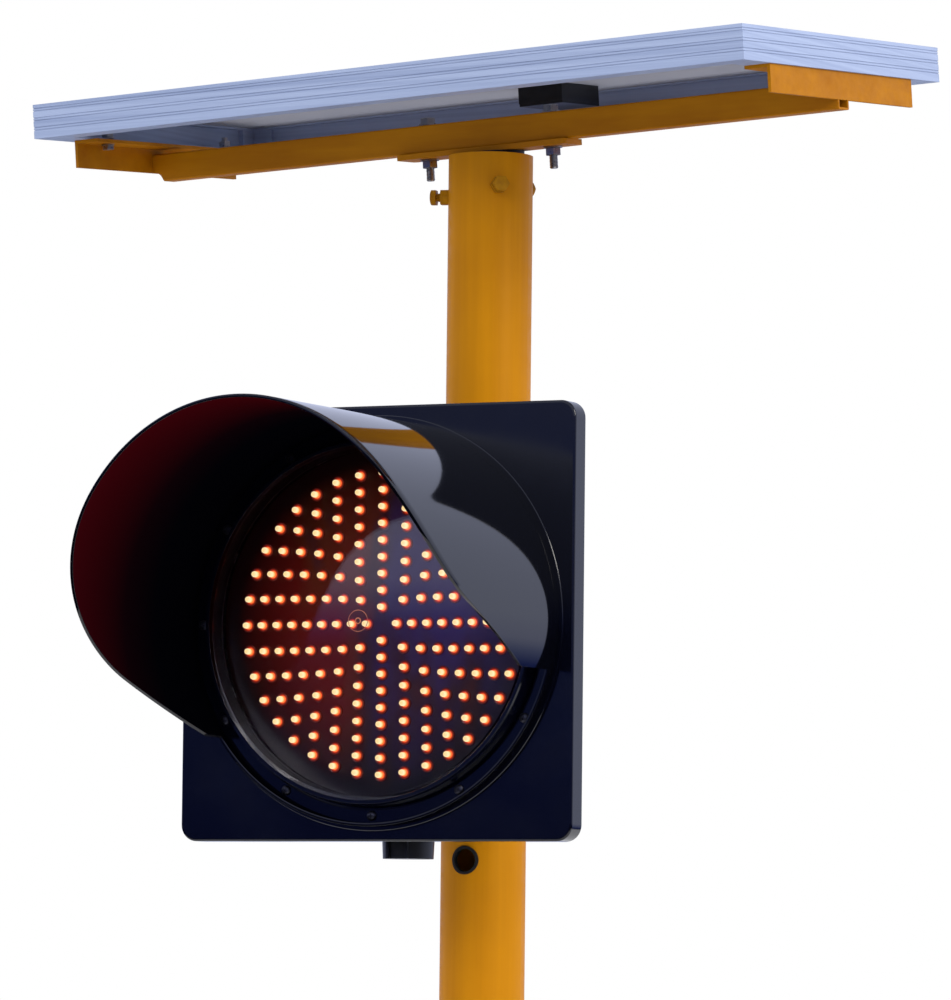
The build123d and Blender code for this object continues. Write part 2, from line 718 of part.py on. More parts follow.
def make_door_frame():
    body = rounded_square(HEAD_HALF, HEAD_CORNER, FACE_Y, DOOR_BACK_Y)
    body = fillet(body.faces().sort_by(Axis.Y)[0].edges(), 2.2)
    hollow = rounded_square(HEAD_HALF - DOOR_WALL, HEAD_CORNER - DOOR_WALL, LENS_SEAT_Y, DOOR_BACK_Y + 1)
    body -= hollow
    rib = rounded_square(SEAL_HALF, HOUSING_CORNER, LENS_SEAT_Y, DOOR_BACK_Y)
    rib -= rounded_square(SEAL_HALF - SEAL_WALL, HOUSING_CORNER - SEAL_WALL, LENS_SEAT_Y - 1, DOOR_BACK_Y + 1)
    body += rib
    bore = LENS_R + 2.0
    bezel_top = FACE_Y - BEZEL_PROUD
    body += spun([(bore, LENS_SEAT_Y), (bore + 6.5, FACE_Y + 1), (bore + 6.0, FACE_Y - 4),
                  (bore + 4.2, bezel_top + 2.5), (bore + 3.0, bezel_top), (bore, bezel_top)])
    body -= rod_y(bore, 0, HEAD_Z, FACE_Y - 60, 0)
    for x, z in visor_screw_places():
        body -= rod_y(2.5, x, z, FACE_Y - 10, LENS_SEAT_Y + 5)
    for angle in CLIP_ANGLES:
        x, z = around_y(CLIP_R, angle)
        body += rod_y(3.5, x, z, LENS_SEAT_Y, CLIP_SEAT_Y) - rod_y(1.6, x, z, LENS_SEAT_Y, CLIP_SEAT_Y)
    for z in HINGE_ZS:
        knuckle = rod_z(6, HINGE_X, HINGE_Y, z - 15, z + 15)
        knuckle += block(HINGE_X - 6, HINGE_X - 0.5, DOOR_BACK_Y - 10, HINGE_Y, z - 15, z + 15)
        knuckle -= rod_z(HINGE_PIN_D / 2 + RUN_GAP, HINGE_X, HINGE_Y, z - 20, z + 20)
        body += knuckle
    for z in LATCH_ZS:
        body += block(HEAD_HALF - DOOR_WALL - 4, HEAD_HALF - 2, DOOR_BACK_Y - 3, DOOR_BACK_Y, z - 14, z + 14)
    return body


def make_lens_gasket():
    return ring_y(LENS_FLANGE_R, LENS_R + 2.0, LENS_SEAT_Y, LENS_FLANGE_Y)


def make_lens():
    """A shallow dome on a straight skirt with an outward flange behind the door."""
    outside = lens_form(LENS_R + 1.8, FACE_Y - BEZEL_PROUD)
    inside = lens_form(LENS_R + 1.8 - LENS_SHELL, FACE_Y - BEZEL_PROUD + LENS_SHELL)
    flange = rod_y(LENS_FLANGE_R, 0, HEAD_Z, LENS_FLANGE_Y, CLIP_SEAT_Y)
    return (outside + flange) - inside


def lens_form(r, shoulder_y):
    """A closed drum with a domed front; the dome rises LENS_RISE above its shoulder."""
    dome_r = (r * r + LENS_RISE * LENS_RISE) / (2 * LENS_RISE)
    drum = rod_y(r, 0, HEAD_Z, shoulder_y - LENS_RISE - 5, CLIP_SEAT_Y)
    ball = Pos(0, shoulder_y - LENS_RISE + dome_r, HEAD_Z) * Sphere(dome_r)
    return drum & ball


def make_lens_clips():
    pieces = []
    for angle in CLIP_ANGLES:
        clip = block(LENS_FLANGE_R - 5, CLIP_R + 4, CLIP_SEAT_Y, CLIP_SEAT_Y + 1.5, -5, 5)
        clip -= rod_y(1.6, CLIP_R, 0, CLIP_SEAT_Y - 1, CLIP_SEAT_Y + 3)
        pieces.append(Pos(0, 0, HEAD_Z) * Rot(0, -angle, 0) * clip)
    return group(pieces)


def make_lens_clip_screws():
    pieces = []
    seat = CLIP_SEAT_Y + 1.5
    for angle in CLIP_ANGLES:
        x, z = around_y(CLIP_R, angle)
        screw = rod_y(1.6, x, z, LENS_SEAT_Y + 0.5, seat) + rod_y(3.0, x, z, seat, seat + 2)
        pieces.append(screw)
    return group(pieces)


def lamp_places():
    """Concentric rings; ring k holds 4k lamps."""
    for k in range(1, LED_RINGS + 1):
        for i in range(4 * k):
            yield around_y(k * LED_PITCH, i * 90 / k)


def spacer_places():
    return [(sx * SPACER_AT, HEAD_Z + sz * SPACER_AT) for sx in (-1, 1) for sz in (-1, 1)]


def make_led_board():
    board = rounded_square(BOARD_HALF, 12, BOARD_FRONT_Y, BOARD_FRONT_Y + BOARD_THICK)
    for x, z in spacer_places():
        board -= rod_y(2.0, x, z, BOARD_FRONT_Y - 1, BOARD_FRONT_Y + 3)
    return board


def make_led_lamps():
    """Round lamps with a collar, a straight body and a domed tip."""
    r = LED_D / 2
    length = BOARD_FRONT_Y - LED_TIP_Y
    body = rod_z(r, 0, 0, 0, length - r) + Pos(0, 0, length - r) * Sphere(r)
    body &= rod_z(r + 1, 0, 0, 0, length + 1)
    body += rod_z(r + 0.4, 0, 0, 0, 1.0)
    lamp = Rot(90, 0, 0) * body
    return group([Pos(x, BOARD_FRONT_Y, z) * lamp for x, z in lamp_places()])


def make_board_spacers():
    pieces = []
    for x, z in spacer_places():
        post = Pos(x, LENS_SEAT_Y, z) * Rot(-90, 0, 0) * hex_z(8, 0, BOARD_FRONT_Y - LENS_SEAT_Y)
        pieces.append(post - rod_y(1.98, x, z, BOARD_FRONT_Y - 7, BOARD_FRONT_Y + 1))
    return group(pieces)


def make_board_screws():
    pieces = []
    back = BOARD_FRONT_Y + BOARD_THICK
    for x, z in spacer_places():
        pieces.append(rod_y(1.98, x, z, BOARD_FRONT_Y - 6.5, back) + rod_y(3.6, x, z, back, back + 2.4))
    return group(pieces)


def visor_keep():
    """Side outline of the cut-away tunnel: long over the top, cut back steeply at both sides."""
    shoulder = (VISOR_LENGTH - 3, 17)
    foot = (VISOR_LENGTH - 211.5, -72)
    outline = Polyline((-20, 200), (VISOR_LENGTH, 200), shoulder, foot, (-20, -72), close=True)
    face = make_face(outline)
    face = fillet(face.vertices().sort_by_distance((*shoulder, 0))[0], VISOR_SHOULDER_R)
    face = fillet(face.vertices().sort_by_distance((*foot, 0))[0], 14)
    side = Plane(origin=(0, FACE_Y, 0), x_dir=(0, -1, 0), z_dir=(-1, 0, 0))
    solid = extrude(side * face, 220, dir=(1, -VISOR_SKEW, 0), both=True)
    return Pos(0, 0, HEAD_Z) * Rot(0, -VISOR_ROLL, 0) * solid


def make_visor():
    """Tunnel with a short full-circle root, seated on the front of its ring."""
    seat = FACE_Y - VISOR_FLANGE_T
    tunnel = ring_y(VISOR_R, VISOR_R - VISOR_WALL, FACE_Y - VISOR_LENGTH - 30, seat)
    tunnel &= visor_keep()
    root = ring_y(VISOR_R, VISOR_R - VISOR_WALL, FACE_Y - 12, seat)
    return root + tunnel


def make_visor_ring():
    ring = ring_y(VISOR_FLANGE_R, LENS_R + 9.5, FACE_Y - VISOR_FLANGE_T, FACE_Y)
    for x, z in visor_screw_places():
        ring -= rod_y(2.6, x, z, FACE_Y - 10, FACE_Y + 1)
    return ring


def make_visor_screws():
    seat = FACE_Y - VISOR_FLANGE_T
    pieces = []
    for x, z in visor_screw_places():
        head = Pos(x, seat - 1.4, z) * Rot(90, 0, 0) * Cone(4.4, 3.0, 2.8)
        screw = head + rod_y(2.5, x, z, seat - 1, LENS_SEAT_Y + 3)
        pieces.append(screw)
    return group(pieces)


# ---------------------------------------------------------------- latches
def make_latch(z):
    """A quarter-turn cam: lever behind the lug, stud through it, cam in the door's hollow."""
    stud = rod_y(LATCH_STUD_D / 2, LATCH_X, z, -205, -184)
    cam = block(LATCH_X - 2.25, LATCH_X + 2.25, -205, -202.5, z - 2.25, z + 7.6)
    lever = block(LATCH_X - 2.5, LATCH_X + 2.5, -188.7, -182, z - 3, z + 11)
    return stud + cam + lever


# ---------------------------------------------------------------- all nodes
def make_nodes():
    nodes = {
        "pole": make_pole(),
        "cable_grommet": make_cable_grommet(),
        "set_screw_bosses": make_set_screw_bosses(),
        "set_screws": make_set_screws(),
        "spigot_tube": make_spigot(),
        "spigot_guide_rings": make_spigot_guide_rings(),
        "top_plate": make_top_plate(),
        "support_rail": make_support_rail(),
        "left_cross_angle": make_cross_angle(LEFT_ANGLE_U, 1),
        "right_cross_angle": make_cross_angle(RIGHT_ANGLE_U, -1),
        "rail_bolts": make_rail_bolts(),
        "rail_washers": make_rail_washers(),
        "rail_nuts": make_rail_nuts(),
        "panel_bolts": make_panel_bolts(),
        "panel_washers": make_panel_washers(),
        "panel_nuts": make_panel_nuts(),
        "corner_keys": make_corner_keys(),
        "panel_glass": laminate_sheet(GLASS_LOW, GLASS_TOP, 0.0),
        "solar_cells": make_solar_cells(),
        "backsheet": laminate_sheet(LAMINATE_LOW, LAMINATE_LOW + BACKSHEET_T, 0.0),
        "junction_box": make_junction_box(),
        "junction_box_lid": make_junction_box_lid(),
        "cable_glands": make_cable_glands(),
        "rear_housing": make_rear_housing(),
        "housing_gasket": make_housing_gasket(),
        "bottom_plug": make_bottom_plug(),
        "hinge_pins": make_hinge_pins(),
        "mounting_channel": make_mounting_channel(),
        "channel_bolts": make_channel_bolts(),
        "channel_nuts": make_channel_nuts(),
        "lower_saddle": make_saddle(SADDLE_ZS[0]),
        "upper_saddle": make_saddle(SADDLE_ZS[1]),
        "u_bolts": make_u_bolts(),
        "u_bolt_washers": make_u_bolt_washers(),
        "u_bolt_nuts": make_u_bolt_nuts(),
        "battery": make_battery(),
        "battery_tray": make_battery_tray(),
        "battery_strap": make_battery_strap(),
        "charge_controller": make_charge_controller(),
        "controller_parts": make_controller_parts(),
        "controller_spacers": make_controller_spacers(),
        "terminal_block": make_terminal_block(),
        "door_frame": make_door_frame(),
        "lens_gasket": make_lens_gasket(),
        "lens": make_lens(),
        "lens_clips": make_lens_clips(),
        "lens_clip_screws": make_lens_clip_screws(),
        "led_board": make_led_board(),
        "led_lamps": make_led_lamps(),
        "board_spacers": make_board_spacers(),
        "board_screws": make_board_screws(),
        "visor": make_visor(),
        "visor_ring": make_visor_ring(),
        "visor_screws": make_visor_screws(),
        "latch_lower": make_latch(LATCH_ZS[0]),
        "latch_upper": make_latch(LATCH_ZS[1]),
    }
    nodes.update(make_frame_members())
    return nodes


def main():
    os.makedirs("parts", exist_ok=True)
    for name, shape in make_nodes().items():
        export_step(shape, f"parts/{name}.step")


if __name__ == "__main__":
    main()
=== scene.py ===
import json
import math

import bmesh
import bpy
from mathutils import Matrix, Vector


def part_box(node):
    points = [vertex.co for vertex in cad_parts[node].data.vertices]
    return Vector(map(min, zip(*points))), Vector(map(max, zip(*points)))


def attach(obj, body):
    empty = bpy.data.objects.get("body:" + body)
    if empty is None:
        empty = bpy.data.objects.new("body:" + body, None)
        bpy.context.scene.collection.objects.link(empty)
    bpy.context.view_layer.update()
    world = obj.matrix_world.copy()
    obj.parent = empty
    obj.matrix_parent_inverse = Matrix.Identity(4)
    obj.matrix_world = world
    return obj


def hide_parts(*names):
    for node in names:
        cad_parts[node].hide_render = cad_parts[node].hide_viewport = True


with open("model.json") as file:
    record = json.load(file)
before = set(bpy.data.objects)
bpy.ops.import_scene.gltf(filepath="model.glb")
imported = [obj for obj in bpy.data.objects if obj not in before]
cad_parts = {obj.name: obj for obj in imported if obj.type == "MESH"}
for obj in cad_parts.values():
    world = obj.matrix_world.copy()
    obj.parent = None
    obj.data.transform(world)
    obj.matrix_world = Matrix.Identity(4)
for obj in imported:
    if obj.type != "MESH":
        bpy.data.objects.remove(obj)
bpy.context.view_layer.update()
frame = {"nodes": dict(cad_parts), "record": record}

# ------------------------------------------------------------------ sizes taken from the frame
DOOR_LOW, DOOR_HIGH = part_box("door_frame")
BOARD_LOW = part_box("led_board")[0]
LAMPS_LOW, LAMPS_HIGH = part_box("led_lamps")
HEAD_Z = (DOOR_LOW.z + DOOR_HIGH.z) / 2
FACE_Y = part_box("visor_ring")[1].y           # plane of the square front
CENTRE = Vector((0.0, FACE_Y, HEAD_Z))

# ------------------------------------------------------------------ how the panel stands, in degrees
PANEL_YAW = -5.8
PANEL_ROLL = -1.9
PANEL_PITCH = 4.05
PANEL_TURN = (Matrix.Rotation(math.radians(PANEL_YAW), 3, "Z")
              @ Matrix.Rotation(math.radians(PANEL_ROLL), 3, "Y")
              @ Matrix.Rotation(math.radians(PANEL_PITCH), 3, "X"))
PANEL_UP = (PANEL_TURN @ Vector((0, 0, 1))).normalized()
ALONG_PANEL = (0, 0, math.radians(-PANEL_YAW))

# ------------------------------------------------------------------ node helpers
def material(name, color, roughness, metallic=0.0):
    """A Principled material; returns it with its node tree and shader."""
    mat = bpy.data.materials.new(name)
    mat.use_nodes = True
    tree = mat.node_tree
    shader = next(n for n in tree.nodes if n.type == "BSDF_PRINCIPLED")
    shader.inputs["Base Color"].default_value = (*color, 1.0)
    shader.inputs["Roughness"].default_value = roughness
    shader.inputs["Metallic"].default_value = metallic
    return mat, tree, shader


def add(tree, kind, **settings):
    """A new node of this kind with its properties set."""
    node = tree.nodes.new(kind)
    for key, value in settings.items():
        setattr(node, key, value)
    return node


def place(tree, scale=(1, 1, 1), turn=(0, 0, 0)):
    """Object coordinates, turned and scaled: they are the row frame, in metres."""
    coord = add(tree, "ShaderNodeTexCoord")
    mapping = add(tree, "ShaderNodeMapping")
    mapping.inputs["Scale"].default_value = scale
    mapping.inputs["Rotation"].default_value = turn
    tree.links.new(coord.outputs["Object"], mapping.inputs["Vector"])
    return mapping.outputs["Vector"]


def noise(tree, vector, scale, detail=3.0, rough=0.55):
    """Value of a noise texture at these coordinates."""
    node = add(tree, "ShaderNodeTexNoise")
    node.inputs["Scale"].default_value = scale
    node.inputs["Detail"].default_value = detail
    node.inputs["Roughness"].default_value = rough
    tree.links.new(vector, node.inputs["Vector"])
    return node.outputs["Fac"]


def ramp(tree, value, stops):
    """A colour ramp; stops are (position, colour) with colour a grey or an RGB."""
    node = add(tree, "ShaderNodeValToRGB")
    elements = node.color_ramp.elements
    while len(elements) < len(stops):
        elements.new(0.5)
    for element, (position, colour) in zip(elements, stops):
        element.position = position
        rgb = colour if isinstance(colour, tuple) else (colour, colour, colour)
        element.color = (*rgb, 1.0)
    tree.links.new(value, node.inputs["Fac"])
    return node.outputs["Color"]


def bump(tree, shader, height, strength, distance, edge=0.0004):
    """Relief from a height value, over edges that catch the light as if eased by this radius."""
    node = add(tree, "ShaderNodeBump")
    eased = add(tree, "ShaderNodeBevel", samples=4)
    eased.inputs["Radius"].default_value = edge
    tree.links.new(eased.outputs["Normal"], node.inputs["Normal"])
    node.inputs["Strength"].default_value = strength
    node.inputs["Distance"].default_value = distance
    tree.links.new(height, node.inputs["Height"])
    tree.links.new(node.outputs["Normal"], shader.inputs["Normal"])


def link(tree, output, shader, socket):
    """Drives one of the shader's sockets."""
    tree.links.new(output, shader.inputs[socket])


# ------------------------------------------------------------------ materials
def yellow_paint(name, light, dark, streak_scale):
    """Enamel with brush streaks along the metal, runs of darker tone and slight orange peel."""
    mat, tree, shader = material(name, light, 0.45)
    streaks = noise(tree, place(tree, streak_scale), 1.0, 6.0, 0.65)
    broad = noise(tree, place(tree), 9.0, 3.0)
    both = add(tree, "ShaderNodeMath", operation="MULTIPLY_ADD")
    tree.links.new(broad, both.inputs[0])
    both.inputs[1].default_value = 0.45
    mixed = add(tree, "ShaderNodeMath", operation="MULTIPLY")
    tree.links.new(streaks, mixed.inputs[0])
    mixed.inputs[1].default_value = 0.55
    tree.links.new(mixed.outputs[0], both.inputs[2])
    link(tree, ramp(tree, both.outputs[0], [(0.36, dark), (0.6, light)]), shader, "Base Color")
    fine = noise(tree, place(tree), 120.0, 4.0)
    link(tree, ramp(tree, fine, [(0.3, 0.34), (0.75, 0.55)]), shader, "Roughness")
    shader.inputs["Specular IOR Level"].default_value = 0.10
    bump(tree, shader, streaks, 0.35, 0.0003, 0.0006)
    return mat


def metal(name, color, rough_low, rough_high, scale):
    """Plated or bare metal whose grain shows in its gloss and tone."""
    mat, tree, shader = material(name, color, rough_low, 1.0)
    grain = noise(tree, place(tree), scale, 4.0)
    link(tree, ramp(tree, grain, [(0.3, rough_low), (0.7, rough_high)]), shader, "Roughness")
    tint = tuple(c * 0.72 for c in color)
    link(tree, ramp(tree, grain, [(0.25, tint), (0.7, color)]), shader, "Base Color")
    bump(tree, shader, grain, 0.3, 0.00005)
    return mat


def galvanised(name):
    """Zinc coating with faint spangle."""
    mat, tree, shader = material(name, (0.5, 0.51, 0.52), 0.4, 1.0)
    cells = add(tree, "ShaderNodeTexVoronoi")
    cells.inputs["Scale"].default_value = 140.0
    tree.links.new(place(tree), cells.inputs["Vector"])
    link(tree, ramp(tree, cells.outputs["Color"], [(0.2, 0.3), (0.8, 0.62)]), shader, "Base Color")
    link(tree, ramp(tree, cells.outputs["Color"], [(0.2, 0.34), (0.8, 0.55)]), shader, "Roughness")
    bump(tree, shader, noise(tree, place(tree), 300.0), 0.2, 0.00005)
    return mat


def plastic(name, color, rough_low, rough_high, grain_scale, depth, dust=None):
    """Moulded plastic: fine surface texture, uneven gloss and, if asked, a little dust."""
    mat, tree, shader = material(name, color, rough_low)
    broad = noise(tree, place(tree), 11.0, 4.0)
    link(tree, ramp(tree, broad, [(0.35, rough_low), (0.7, rough_high)]), shader, "Roughness")
    if dust:
        specks = noise(tree, place(tree), 26.0, 8.0, 0.75)
        link(tree, ramp(tree, specks, [(0.5, color), (0.82, dust)]), shader, "Base Color")
    bump(tree, shader, noise(tree, place(tree), grain_scale), 0.25, depth)
    return mat


def clear(name, color, roughness):
    """Clear moulding: transmission with a faint unevenness in its surface."""
    mat, tree, shader = material(name, color, roughness)
    shader.inputs["Transmission Weight"].default_value = 1.0
    shader.inputs["IOR"].default_value = 1.49
    waves = noise(tree, place(tree), 7.0, 2.0)
    link(tree, ramp(tree, waves, [(0.3, roughness * 0.5), (0.8, roughness * 1.5)]), shader, "Roughness")
    bump(tree, shader, waves, 0.06, 0.0006)
    return mat


def anodised_and_painted_sky(name, light, dark):
    """Satin anodised extrusion: drawn lines along each member; its cool blue tone is a painted reflection of
    the sky.
    """
    mat, tree, shader = material(name, light, 0.42, 0.1)
    lines = noise(tree, place(tree, (2.0, 2.0, 260.0), ALONG_PANEL), 1.0, 4.0)
    link(tree, ramp(tree, lines, [(0.3, dark), (0.62, light)]), shader, "Base Color")
    link(tree, ramp(tree, lines, [(0.3, 0.32), (0.7, 0.5)]), shader, "Roughness")
    bump(tree, shader, lines, 0.12, 0.00004)
    return mat


BUSBARS = 27                                 # nine cells along the panel, three to each
CELLS_LENGTH = 0.715
CELLS_OFFSET = 0.005


def cell_blue(name):
    """Polycrystalline cells: mottled blue with three silver busbars to each cell."""
    mat, tree, shader = material(name, (0.006, 0.016, 0.07), 0.25)
    grains = add(tree, "ShaderNodeTexVoronoi")
    grains.inputs["Scale"].default_value = 95.0
    tree.links.new(place(tree), grains.inputs["Vector"])
    stops = [(0.2, (0.004, 0.011, 0.05)), (0.8, (0.010, 0.026, 0.11))]
    blue = ramp(tree, grains.outputs["Color"], stops)
    split = add(tree, "ShaderNodeSeparateXYZ")
    tree.links.new(place(tree, turn=ALONG_PANEL), split.inputs["Vector"])
    count = add(tree, "ShaderNodeMath", operation="MULTIPLY_ADD")
    tree.links.new(split.outputs["X"], count.inputs[0])
    count.inputs[1].default_value = BUSBARS / CELLS_LENGTH
    count.inputs[2].default_value = BUSBARS / 2 + CELLS_OFFSET * BUSBARS / CELLS_LENGTH
    part = add(tree, "ShaderNodeMath", operation="FRACT")
    tree.links.new(count.outputs[0], part.inputs[0])
    bar = add(tree, "ShaderNodeMath", operation="COMPARE")
    tree.links.new(part.outputs[0], bar.inputs[0])
    bar.inputs[1].default_value = 0.5
    bar.inputs[2].default_value = 0.028
    mix = add(tree, "ShaderNodeMix", data_type="RGBA")
    tree.links.new(bar.outputs[0], mix.inputs["Factor"])
    tree.links.new(blue, mix.inputs["A"])
    mix.inputs["B"].default_value = (0.42, 0.43, 0.46, 1.0)
    tree.links.new(mix.outputs["Result"], shader.inputs["Base Color"])
    bump(tree, shader, grains.outputs["Distance"], 0.1, 0.00002)
    return mat


def lamp_glow():
    """Lamp body: pale yellow at the tip, orange then red towards the collar."""
    mat, tree, shader = material("lamp_glow", (0.2, 0.02, 0.01), 0.3)
    split = add(tree, "ShaderNodeSeparateXYZ")
    coord = add(tree, "ShaderNodeTexCoord")
    tree.links.new(coord.outputs["Object"], split.inputs["Vector"])
    span = add(tree, "ShaderNodeMapRange")
    span.inputs["From Min"].default_value = LAMPS_HIGH.y
    span.inputs["From Max"].default_value = LAMPS_LOW.y
    tree.links.new(split.outputs["Y"], span.inputs["Value"])
    stops = [(0.10, (1.0, 0.16, 0.03)), (0.3, (1.0, 0.46, 0.12)), (0.5, (1.0, 0.80, 0.34)),
             (0.8, (1.0, 0.90, 0.52)), (1.0, (1.0, 0.72, 0.30))]
    link(tree, ramp(tree, span.outputs["Result"], stops), shader, "Emission Color")
    shader.inputs["Emission Strength"].default_value = 1.15
    return mat


def cup_painted_glow():
    """A painted collar of the lamps' red light round each lamp, fading outwards, set as emission."""
    mat, tree, shader = material("cup_painted_glow", (0.02, 0.006, 0.006), 0.5)
    glow = add(tree, "ShaderNodeAttribute", attribute_name="glow")
    stops = [(0.0, (0.035, 0.001, 0.002)), (0.35, (0.16, 0.003, 0.003)),
             (0.7, (0.62, 0.02, 0.006)), (1.0, (1.0, 0.16, 0.04))]
    # The emission is painted glow: the lamps' light on the cups.
    link(tree, ramp(tree, glow.outputs["Fac"], stops), shader, "Emission Color")
    shader.inputs["Emission Strength"].default_value = 1.0
    return mat


def board_face_painted_glow():
    """Dark solder mask with a painted glow of the lamps' light: red, brown and violet between the lamps,
    fading outside them.
    """
    mat, tree, shader = material("board_face_painted_glow", (0.002, 0.002, 0.004), 0.35)
    patches = noise(tree, place(tree, (1.0, 1.0, 0.4)), 16.0, 3.0)
    coord = add(tree, "ShaderNodeTexCoord")
    split = add(tree, "ShaderNodeSeparateXYZ")
    tree.links.new(coord.outputs["Object"], split.inputs["Vector"])
    # The painted glow leans red towards -X and violet towards +X.
    side = add(tree, "ShaderNodeMapRange")
    side.inputs["From Min"].default_value = -0.10
    side.inputs["From Max"].default_value = 0.10
    side.inputs["To Min"].default_value = -0.22
    side.inputs["To Max"].default_value = 0.22
    tree.links.new(split.outputs["X"], side.inputs["Value"])
    tone = add(tree, "ShaderNodeMath", operation="ADD")
    tree.links.new(patches, tone.inputs[0])
    tree.links.new(side.outputs["Result"], tone.inputs[1])
    stops = [(0.34, (0.075, 0.002, 0.001)), (0.47, (0.060, 0.008, 0.002)),
             (0.56, (0.022, 0.005, 0.012)), (0.68, (0.020, 0.008, 0.055))]
    link(tree, ramp(tree, tone.outputs[0], stops), shader, "Emission Color")
    # The painted glow fades out beyond the rings of lamps.
    centred = add(tree, "ShaderNodeVectorMath", operation="DISTANCE")
    tree.links.new(coord.outputs["Object"], centred.inputs[0])
    centred.inputs[1].default_value = (0.0, BOARD_LOW.y, HEAD_Z)
    fade = add(tree, "ShaderNodeMapRange")
    fade.inputs["From Min"].default_value = 0.075
    fade.inputs["From Max"].default_value = 0.142
    fade.inputs["To Min"].default_value = 0.9
    fade.inputs["To Max"].default_value = 0.02
    tree.links.new(centred.outputs["Value"], fade.inputs["Value"])
    link(tree, fade.outputs["Result"], shader, "Emission Strength")
    bump(tree, shader, noise(tree, place(tree), 400.0), 0.3, 0.00004)
    return mat


def visor_plastic_painted_glow():
    """Glossy outside, satin inside with a painted dim red glow of the lamps' light, growing towards the rim.
    """
    mat, tree, shader = material("visor_plastic_painted_glow", (0.0012, 0.0013, 0.003), 0.06)
    inside = add(tree, "ShaderNodeAttribute", attribute_name="inside")
    forward = add(tree, "ShaderNodeAttribute", attribute_name="forward")
    link(tree, ramp(tree, inside.outputs["Fac"], [(0.3, 0.06), (0.7, 0.52)]), shader, "Roughness")
    link(tree, ramp(tree, inside.outputs["Fac"], [(0.3, 0.5), (0.7, 0.0)]), shader, "Specular IOR Level")
    # The emission is painted glow: the lamps' red light on the inside of the visor.
    stops = [(0.30, (0.0, 0.0, 0.0)), (0.5, (0.003, 0.0, 0.0001)),
             (0.72, (0.018, 0.0, 0.0002)), (1.0, (0.036, 0.0001, 0.0005))]
    link(tree, ramp(tree, forward.outputs["Fac"], stops), shader, "Emission Color")
    shader.inputs["Emission Strength"].default_value = 1.0
    bump(tree, shader, noise(tree, place(tree), 14.0, 2.0), 0.10, 0.0006)
    return mat


MATERIALS = {
    "pole_paint": yellow_paint("pole_paint", (0.60, 0.235, 0.0006), (0.50, 0.185, 0.0005), (55, 55, 1.3)),
    "bracket_paint": yellow_paint("bracket_paint", (0.50, 0.19, 0.002), (0.38, 0.13, 0.001), (4, 40, 55)),
    "painted_fastener": yellow_paint("painted_fastener", (0.50, 0.22, 0.004), (0.28, 0.11, 0.004),
                                     (80, 80, 80)),
    "zinc": metal("zinc", (0.50, 0.50, 0.52), 0.24, 0.42, 240.0),
    "galvanised": galvanised("galvanised"),
    "black_enamel": plastic("black_enamel", (0.006, 0.006, 0.006), 0.5, 0.65, 400.0, 0.00003),
    "black_housing": plastic("black_housing", (0.0010, 0.0013, 0.005), 0.08, 0.17, 900.0, 0.00001,
                             (0.0022, 0.0028, 0.008)),
    "visor_black": plastic("visor_black", (0.0010, 0.0012, 0.004), 0.07, 0.14, 1100.0, 0.00001,
                           (0.002, 0.0025, 0.007)),
    "clear_lens": clear("clear_lens", (0.94, 0.93, 0.96), 0.02),
    "circuit_board": board_face_painted_glow(),
    "led_red": lamp_glow(),
    "rubber_black": plastic("rubber_black", (0.0012, 0.0012, 0.0016), 0.6, 0.8, 700.0, 0.00006),
    "guide_nylon": plastic("guide_nylon", (0.004, 0.004, 0.005), 0.5, 0.65, 400.0, 0.00003),
    "blackened_screw": metal("blackened_screw", (0.07, 0.07, 0.09), 0.3, 0.45, 240.0),
    # The frame's blue base colours are a painted reflection of the sky on the aluminium.
    "frame_aluminium": anodised_and_painted_sky("frame_aluminium", (0.42, 0.50, 0.70), (0.31, 0.38, 0.57)),
    "panel_glass": clear("panel_glass", (0.97, 0.98, 1.0), 0.02),
    "cell_blue": cell_blue("cell_blue"),
    "backsheet_white": plastic("backsheet_white", (0.40, 0.41, 0.47), 0.45, 0.6, 250.0, 0.00004),
    "box_black": plastic("box_black", (0.002, 0.002, 0.003), 0.35, 0.5, 800.0, 0.00004),
    "battery_case": plastic("battery_case", (0.035, 0.036, 0.04), 0.45, 0.6, 600.0, 0.00006),
    "webbing": plastic("webbing", (0.02, 0.02, 0.022), 0.8, 0.9, 900.0, 0.0002),
    "board_green": plastic("board_green", (0.01, 0.10, 0.035), 0.3, 0.45, 300.0, 0.00003),
    "parts_grey": metal("parts_grey", (0.5, 0.5, 0.53), 0.3, 0.5, 200.0),
    "terminal_green": plastic("terminal_green", (0.02, 0.26, 0.09), 0.4, 0.5, 500.0, 0.00003),
    "brass": metal("brass", (0.75, 0.56, 0.25), 0.25, 0.4, 250.0),
}
CUP_MATERIAL = cup_painted_glow()
VISOR_MATERIAL = visor_plastic_painted_glow()


CELL_CLEARANCE = 0.0001


def finish_nodes():
    """Every CAD node gets its slot's material; the cells shrink a little, clear of the glass."""
    slot_of = {part["node"]: part["material_slot"] for part in frame["record"]["subparts"]}
    for name, obj in frame["nodes"].items():
        obj.data.materials.clear()
        obj.data.materials.append(MATERIALS[slot_of[name]])
    shrink = frame["nodes"]["solar_cells"].modifiers.new("clear_of_glass", "DISPLACE")
    shrink.mid_level = 0.0
    shrink.strength = -CELL_CLEARANCE


# ------------------------------------------------------------------ mesh helpers
SHARP_EDGE = math.radians(38)
SAME_POINT = 1e-7


def new_object(name, bm, mat, body):
    """A piece from a finished bmesh: outward faces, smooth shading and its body."""
    bmesh.ops.recalc_face_normals(bm, faces=bm.faces)
    mesh = mesh_from(name, bm)
    obj = bpy.data.objects.new(name, mesh)
    bpy.context.scene.collection.objects.link(obj)
    mesh.materials.append(mat)
    for polygon in mesh.polygons:
        polygon.use_smooth = True
    mesh.set_sharp_from_angle(angle=SHARP_EDGE)
    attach(obj, body)
    return obj


def mesh_from(name, bm):
    """Turns the bmesh into a mesh and frees it."""
    mesh = bpy.data.meshes.new(name)
    bm.normal_update()
    bm.to_mesh(mesh)
    bm.free()
    return mesh


